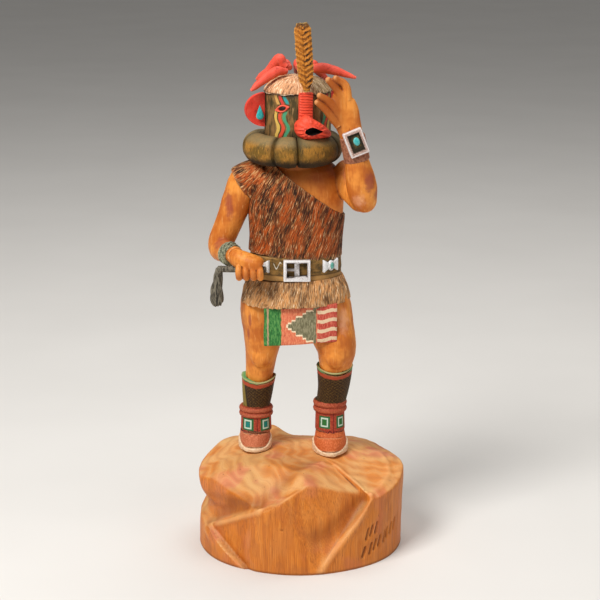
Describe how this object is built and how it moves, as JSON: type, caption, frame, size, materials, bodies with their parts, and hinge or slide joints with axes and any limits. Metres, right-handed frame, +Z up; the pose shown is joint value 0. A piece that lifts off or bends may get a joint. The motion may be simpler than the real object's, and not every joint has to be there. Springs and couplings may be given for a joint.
{
  "type": "kachina doll",
  "caption": "Carved and painted wooden runner figure with a case mask, ruff, fur tunic and boots, standing on a rock-shaped wooden base.",
  "frame": {"origin": "centre of the rock's flat underside", "axes": "+Z up along the figure's height, the figure faces -Y, +X towards its left hand"},
  "size_m": [0.0981, 0.0932, 0.2514],
  "materials": {
    "oiled_wood": "oiled cottonwood root with flowing grain, satin",
    "painted_wood": "cottonwood stained orange-brown and painted, satin",
    "red_paint": "wood under matte red paint",
    "turquoise": "small carved drop under turquoise paint, satin",
    "feather_wood": "carved plume under ochre paint with dark barring",
    "dark_fibre": "dark grey-brown painted strand"
  },
  "bodies": {
    "root": {"base": "oiled_wood", "figure": "painted_wood", "ear_right": "red_paint", "ear_left": "red_paint", "ear_drop_right": "turquoise", "ear_drop_left": "turquoise", "feather": "feather_wood", "whip": "dark_fibre", "chilli_right_side": "red_paint", "chilli_right_front": "red_paint", "chilli_left_side": "red_paint", "chilli_left_back": "red_paint", "chilli_back": "red_paint", "chilli_right_back": "red_paint"}
  },
  "joints": []
}
